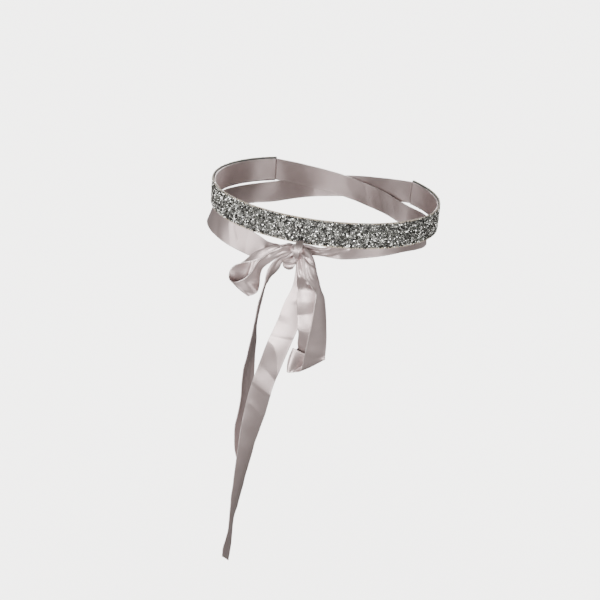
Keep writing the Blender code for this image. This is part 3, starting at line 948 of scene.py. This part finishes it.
def stone_template(corners, length, width, table):
    """Corners and faces of one cut stone of size 1: a flat top, a ring of facets and a straight foot."""
    turn = np.arange(corners) * 2 * math.pi / corners
    half = turn + math.pi / corners
    ring = np.stack([np.cos(turn) * length / 2, np.sin(turn) * width / 2], axis=1)
    top = np.stack([np.cos(half) * length / 2 * table, np.sin(half) * width / 2 * table], axis=1)
    verts = np.concatenate([
        np.column_stack([top, np.full(corners, STONE_TOP)]),
        np.column_stack([ring, np.full(corners, STONE_RING)]),
        np.column_stack([ring * STONE_FOOT_SIZE, np.full(corners, STONE_FOOT)]),
    ])
    faces = [list(range(corners))]
    for i in range(corners):
        j = (i + 1) % corners
        faces.append([i, corners + i, corners + j])
        faces.append([i, corners + j, j])
        faces.append([corners + i, 2 * corners + i, 2 * corners + j, corners + j])
    return verts, faces


def scatter(rng):
    """Places of the stones on the flat strip, as length, drop, size and lift."""
    reach, half = band_runs()[1][-1], BAND_HEIGHT / 2
    rows = int(round((BAND_HEIGHT - STONE_ROOM) / (STONE_PITCH * STONE_SQUEEZE)))
    count = int(2 * reach / STONE_PITCH)
    length, drop = np.meshgrid(np.linspace(-reach + STONE_ROOM, reach - STONE_ROOM, count),
                               np.linspace(-half + STONE_FROM_EDGE, half - STONE_FROM_EDGE, rows))
    length = length + (np.arange(rows)[:, None] % 2) * STONE_PITCH / 2
    length = length.ravel() + rng.uniform(-STONE_STRAY[0], STONE_STRAY[0], length.size)
    drop = drop.ravel() + rng.uniform(-STONE_STRAY[1], STONE_STRAY[1], drop.size)
    size = STONE_PITCH * rng.uniform(*STONE_SIZES, length.size)
    lift = rng.uniform(*STONE_LIFTS, length.size)
    strewn = (rng.uniform(-reach + TOP_ROOM, reach - TOP_ROOM, TOP_STONES),
              rng.uniform(-half + TOP_FROM_EDGE, half - TOP_FROM_EDGE, TOP_STONES),
              rng.uniform(*TOP_SIZES, TOP_STONES), rng.uniform(*TOP_LIFTS, TOP_STONES))
    return [np.concatenate(pair) for pair in zip((length, drop, size, lift), strewn)]


def stones_object(name, material, rng):
    length, drop, size, lift = scatter(rng)
    point, facing = band_place(length, drop, STONE_GAP)
    point = point + facing * lift[:, None]
    shapes = rng.choice(len(STONES), len(length), p=[row[-1] for row in STONES])
    tones = rng.choice(len(TONES), len(length), p=[row[-1] for row in TONES])
    level = rng.uniform(*STONE_LEVELS, len(length))
    spin = rng.uniform(0, 2 * math.pi, len(length))
    tilt = rng.normal(0, STONE_TILT, (len(length), 2)).clip(-STONE_TILT_MOST, STONE_TILT_MOST)
    tilt = np.radians(tilt)
    up = np.array([0.0, 0.0, 1.0])
    templates = [stone_template(*row[:-1]) for row in STONES]
    verts, faces, colours = [], [], []
    base = 0
    for i in range(len(length)):
        axes = np.stack([np.cross(up, facing[i]), up, facing[i]], axis=1)
        turn = (Matrix.Rotation(tilt[i, 0], 3, "X") @ Matrix.Rotation(tilt[i, 1], 3, "Y")
                @ Matrix.Rotation(spin[i], 3, "Z"))
        shape_verts, shape_faces = templates[shapes[i]]
        verts.append(point[i] + (shape_verts * size[i]) @ np.array(turn).T @ axes.T)
        colour = [level[i] * value for value in TONES[tones[i]][:-1]] + [1.0]
        faces += [[base + corner for corner in face] for face in shape_faces]
        colours += [colour] * len(shape_faces)
        base += len(shape_verts)
    piece = add_mesh(name, np.concatenate(verts) * MM, faces, material, smooth=False)
    layer = piece.data.attributes.new("stone_colour", "FLOAT_COLOR", "FACE")
    layer.data.foreach_set("color", np.asarray(colours, dtype=np.float32).ravel())
    return piece


def band_strip(gap, height, middle_drop, half_wall, start=-BAND_END_ANGLE, end=BAND_END_ANGLE,
               steps=BACKING_STEPS):
    """A strip of cloth round the band, as high as height and centred at middle_drop."""
    angle = np.linspace(start, end, steps)
    share = np.linspace(0, 1, BAND_COLUMNS)
    upper = round_waist(angle, gap, np.full(steps, middle_drop - height / 2))
    lower = round_waist(angle, gap, np.full(steps, middle_drop + height / 2))
    points = upper[:, None] + (lower - upper)[:, None] * share[None, :, None]
    return cloth_part(points, lengths_along(upper), share, half_wall, half_wall, height)


def stitch_places():
    """Middle of each stitch on the flat strip, as length, drop and whether it runs downwards."""
    reach, half = band_runs()[1][-1], RIBBON_WIDTH / 2
    places = []
    for side in (-1, 1):
        for length in np.arange(-reach + STITCH_PITCH, reach - STITCH_PITCH / 2, STITCH_PITCH):
            places.append((length, side * (half - STITCH_FROM_EDGE), 0.0))
        for drop in np.arange(-half + STITCH_PITCH, half - STITCH_LENGTH / 2, STITCH_PITCH):
            places.append((side * (reach - STITCH_FROM_EDGE), drop, 1.0))
    return np.array(places)


def stitches_object(name, material, rng):
    """Running stitches on the ribbon's inner face: short threads that go in at both ends."""
    length, drop, downwards = stitch_places().T[:, :, None]
    count = len(length)
    length = length + rng.uniform(-STITCH_STRAY[0], STITCH_STRAY[0], count)[:, None]
    drop = drop + rng.uniform(-STITCH_STRAY[1], STITCH_STRAY[1], count)[:, None]
    slant = np.radians(rng.normal(0, STITCH_SLANT, count))[:, None] + downwards * math.pi / 2
    way = np.linspace(-1, 1, STITCH_RINGS)
    length = length + way * np.cos(slant) * STITCH_LENGTH / 2
    drop = drop + way * np.sin(slant) * STITCH_LENGTH / 2
    gap = BACKING_GAP - SATIN_HALF_WALL + STITCH_RADIUS * (STITCH_DIVE * way**2 - STITCH_LIE)
    places = [band_place(length[:, k], drop[:, k], gap[k]) for k in range(STITCH_RINGS)]
    line, facing = (np.stack(found, axis=1) for found in zip(*places))
    side = unit(np.cross(np.gradient(line, axis=1), facing))
    turn = (np.arange(STITCH_SIDES) * 2 * math.pi / STITCH_SIDES)[:, None]
    thick = STITCH_RADIUS * (1 - STITCH_TAPER * way**2)[:, None, None]
    ring = line[:, :, None] + thick * (np.cos(turn) * facing[:, :, None] + np.sin(turn) * side[:, :, None])
    index = np.arange(ring[..., 0].size).reshape(ring.shape[:3])
    after = np.roll(index, -1, axis=2)
    faces = np.stack([index[:, :-1], after[:, :-1], after[:, 1:], index[:, 1:]], axis=-1)
    faces = faces.reshape(-1, 4).tolist() + index[:, 0, ::-1].tolist() + index[:, -1].tolist()
    return add_mesh(name, ring.reshape(-1, 3) * MM, faces, material)


# ---------------------------------------- camera and light

CAMERA_AZIMUTH = 15.5
CAMERA_ELEVATION = 24.0
CAMERA_ROLL = 4.7
CAMERA_DISTANCE = 1600.0
CAMERA_SEES = 50000.0
PICTURE = 600.0
FOCAL_PIXELS = 1496.0
WAIST_PIXEL = (324.5, 200.5)
SENSOR = 36.0

# The lights aim at a point this far below the waist, in metres.
LIGHT_AIM = (0.0, 0.0, -0.1)
# name: azimuth and elevation in degrees, distance and size in metres, power in watts
LIGHTS = {
    "key": (-5.0, 2.0, 2.0, (1.0, 1.0), 55.0),
    "left": (-70.0, 5.0, 2.0, (1.0, 1.0), 21.0),
    "right": (60.0, 5.0, 2.0, (1.0, 1.0), 21.0),
    "rear": (185.0, 30.0, 2.2, (1.4, 1.0), 45.0),
    "side": (150.0, 20.0, 2.0, (1.0, 1.0), 14.0),
}
LIGHT_COLOUR = (1.0, 0.985, 0.97)
WORLD_COLOUR = (1.0, 0.93, 0.86, 1.0)
WORLD_STRENGTH = 0.115

# Floor and backdrop: the floor's drop in millimetres, the rest in metres.
FLOOR_DROP = 520.0
FLOOR_HALF = 15.0
FLOOR_COLOUR = (0.90, 0.885, 0.865, 1.0)
FLOOR_LIGHT_STRENGTH = 17.0
FLOOR_LIGHT_ANGLE = 80.0
BACKDROP_SIDES = 96
BACKDROP_RADIUS = 14.7
BACKDROP_HEIGHT = 4.5
BACKDROP_STRENGTH = 5.15


def direction(azimuth, elevation):
    """The way to a place round the sash. azimuth: from the front, + to the wearer's left."""
    turn, rise = math.radians(azimuth), math.radians(elevation)
    return Vector((math.sin(turn) * math.cos(rise), -math.cos(turn) * math.cos(rise), math.sin(rise)))


def make_camera():
    back = direction(CAMERA_AZIMUTH, CAMERA_ELEVATION)
    level = direction(CAMERA_AZIMUTH + 90.0, 0.0)
    steep = back.cross(level)
    roll = math.radians(CAMERA_ROLL)
    right = level * math.cos(roll) + steep * math.sin(roll)
    up = steep * math.cos(roll) - level * math.sin(roll)
    scale = CAMERA_DISTANCE / FOCAL_PIXELS
    eye = (back * CAMERA_DISTANCE - right * (WAIST_PIXEL[0] - PICTURE / 2) * scale
           + up * (WAIST_PIXEL[1] - PICTURE / 2) * scale)
    data = bpy.data.cameras.new("camera")
    data.sensor_width = SENSOR
    data.lens = FOCAL_PIXELS / PICTURE * SENSOR
    data.clip_end = CAMERA_SEES * MM
    camera = add_object("camera", data)
    facing = Matrix((right, up, back)).transposed().to_4x4()
    camera.matrix_world = Matrix.Translation(eye * MM) @ facing
    bpy.context.scene.camera = camera


def area_light(name, azimuth, elevation, distance, size, power):
    back = direction(azimuth, elevation)
    data = bpy.data.lights.new(name, "AREA")
    data.shape = "RECTANGLE"
    data.size, data.size_y = size
    data.energy = power
    data.color = LIGHT_COLOUR
    light = add_object(name, data)
    light.matrix_world = (Matrix.Translation(back * distance + Vector(LIGHT_AIM))
                          @ back.to_track_quat("Z", "Y").to_matrix().to_4x4())
    return light


def make_floor():
    material, _, _ = new_material("floor_look", {"Roughness": 0.9, "Base Color": FLOOR_COLOUR})
    corners = np.array([(-1.0, -1.0), (1.0, -1.0), (1.0, 1.0), (-1.0, 1.0)]) * FLOOR_HALF
    verts = np.column_stack([corners, np.full(4, -FLOOR_DROP * MM)])
    return add_mesh("floor", verts, [(0, 1, 2, 3)], material, smooth=False)


def make_backdrop():
    """A round wall at the floor's edge, as pale as the floor."""
    material, _, _ = new_material("backdrop_look", {
        "Base Color": (0.0, 0.0, 0.0, 1.0), "Specular IOR Level": 0.0,
        "Emission Color": FLOOR_COLOUR, "Emission Strength": BACKDROP_STRENGTH})
    turn = np.arange(BACKDROP_SIDES) * 2 * math.pi / BACKDROP_SIDES
    ring = BACKDROP_RADIUS * np.stack([np.cos(turn), np.sin(turn)], axis=1)
    verts = np.concatenate([np.column_stack([ring, np.full(BACKDROP_SIDES, level)])
                            for level in (-FLOOR_DROP * MM, BACKDROP_HEIGHT)])
    low = np.arange(BACKDROP_SIDES)
    after = np.roll(low, -1)
    faces = np.stack([low, after, after + BACKDROP_SIDES, low + BACKDROP_SIDES], axis=1)
    backdrop = add_mesh("backdrop", verts, faces.tolist(), material, smooth=False)
    backdrop.visible_shadow = False
    return backdrop


def make_studio():
    """Surroundings and lights. The floor and backdrop are lit on their own and light nothing else."""
    scene_world = bpy.data.worlds.new("studio")
    bpy.context.scene.world = scene_world
    scene_world.use_nodes = True
    set_inputs(scene_world.node_tree.nodes["Background"],
               {"Color": WORLD_COLOUR, "Strength": WORLD_STRENGTH})
    floor = make_floor()
    backdrop = make_backdrop()
    floor_only = bpy.data.collections.new("floor_only")
    floor_only.objects.link(floor)
    not_floor = bpy.data.collections.new("not_floor")
    for thing in (floor, backdrop):
        thing.visible_diffuse = False
        thing.visible_glossy = False
        not_floor.objects.link(thing)
    for entry in not_floor.collection_objects:
        entry.light_linking.link_state = "EXCLUDE"
    data = bpy.data.lights.new("floor_light", "SUN")
    data.energy = FLOOR_LIGHT_STRENGTH
    data.angle = math.radians(FLOOR_LIGHT_ANGLE)
    add_object("floor_light", data).light_linking.receiver_collection = floor_only
    for name, values in LIGHTS.items():
        area_light(name, *values).light_linking.receiver_collection = not_floor


# ---------------------------------------- the sash

def make_ribbons(satin, sewing, rng):
    sheets = {node: tie_sheet(node, *values) for node, values in TIES.items()}
    sheets.update((node, bow_sheet(node, *values)) for node, values in BOW.items())
    sheets["ribbon_backing"] = backing_sheet()
    for node, (points, along, share) in sheets.items():
        piece = cloth_object("satin_" + node, satin, [cloth_part(points, along, share)])
        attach(piece, "root")
        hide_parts(node)
        on_it = []
        if node == "ribbon_backing":
            on_it = [stitches_object("band_stitches", sewing, rng)]
            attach(on_it[0], "root")


def make_knot(satin):
    middle = knot_middle("knot_middle", satin)
    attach(middle, "root")
    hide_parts("knot")
    parts, area = [], 0.0
    for name, rows in KNOT_FOLDS.items():
        points, along, share = bow_sheet(name, rows, KNOT_FOLD_STEPS, KNOT_FOLD_PHASE)
        width = np.linalg.norm(np.diff(points, axis=1), axis=2).sum(axis=1).mean()
        parts.append(cloth_part(points, along, share, KNOT_FOLD_HALF_WALL, KNOT_FOLD_HALF_WALL, width))
        area += sheet_area(points)
    folds = cloth_object("knot_folds", satin, parts)
    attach(folds, "root")


def make_band(crystal, backing, edging, rng):
    stones = stones_object("band_stones", crystal, rng)
    edge_drop = BAND_HEIGHT / 2 - EDGE_HEIGHT / 2
    top, low = (cloth_object(name, edging, [band_strip(EDGE_GAP, EDGE_HEIGHT, drop, EDGE_HALF_WALL)])
                for name, drop in (("band_edge_top", -edge_drop), ("band_edge_low", edge_drop)))
    base = cloth_object("band_base", backing, [
        band_strip(BASE_GAP, BAND_HEIGHT - BASE_SHORT, 0.0, BASE_HALF_WALL)])
    ends = cloth_object("band_end_bindings", edging, [
        band_strip(EDGE_GAP, BAND_HEIGHT - 2 * EDGE_HEIGHT - BINDING_SHORT, 0.0, EDGE_HALF_WALL,
                   side * BAND_END_ANGLE, side * (BAND_END_ANGLE - BINDING_ANGLE), BINDING_STEPS)
        for side in (-1, 1)])
    for piece in (stones, top, low, base, ends):
        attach(piece, "root")
    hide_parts("crystal_band")


def main():
    rng = np.random.default_rng(SEED)
    satin = satin_material()
    crystal = crystal_material()
    backing, edging, sewing = (plain_cloth_material(name) for name in PLAIN_CLOTHS)
    make_ribbons(satin, sewing, rng)
    make_knot(satin)
    make_band(crystal, backing, edging, rng)
    make_camera()
    make_studio()


main()
